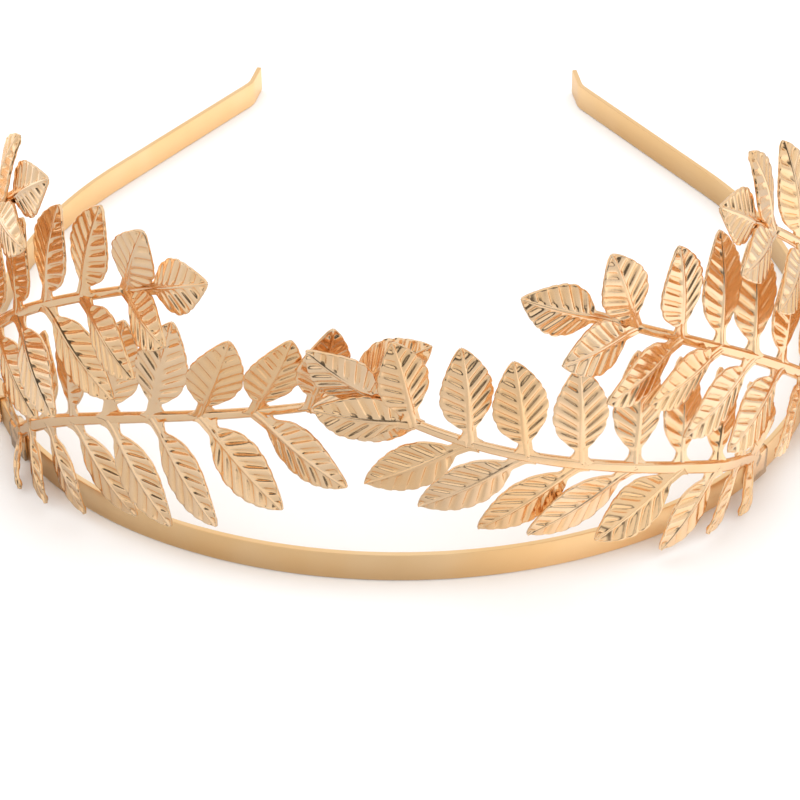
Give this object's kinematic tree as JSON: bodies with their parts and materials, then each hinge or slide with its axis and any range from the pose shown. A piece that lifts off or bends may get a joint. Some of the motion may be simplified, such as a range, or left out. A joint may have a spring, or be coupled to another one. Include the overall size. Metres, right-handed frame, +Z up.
{
  "type": "laurel wreath crown",
  "caption": "Open metal headband, a flat strip bent to a U, with pressed laurel sprigs folded onto each side and rising to meet over the brow",
  "frame": {"origin": "middle of the head opening, level with the strip's lower edge and with the centres of the two side bends", "axes": "+Z up through the opening, -Y out of the brow, +Y towards the open ends at the nape, +X to the right in the picture"},
  "size_m": [0.1523, 0.1581, 0.0706],
  "materials": {
    "band_gold": "gold plate with a fine satin, brushed along the strip",
    "leaf_gold": "pale bright gold plate on pressed leaves, softly polished"
  },
  "bodies": {
    "root": {"band": "band_gold", "front_sprig_left": "leaf_gold", "front_sprig_right": "leaf_gold", "upper_sprig_left": "leaf_gold", "upper_sprig_right": "leaf_gold", "back_sprig_left": "leaf_gold", "back_sprig_right": "leaf_gold"}
  },
  "joints": []
}
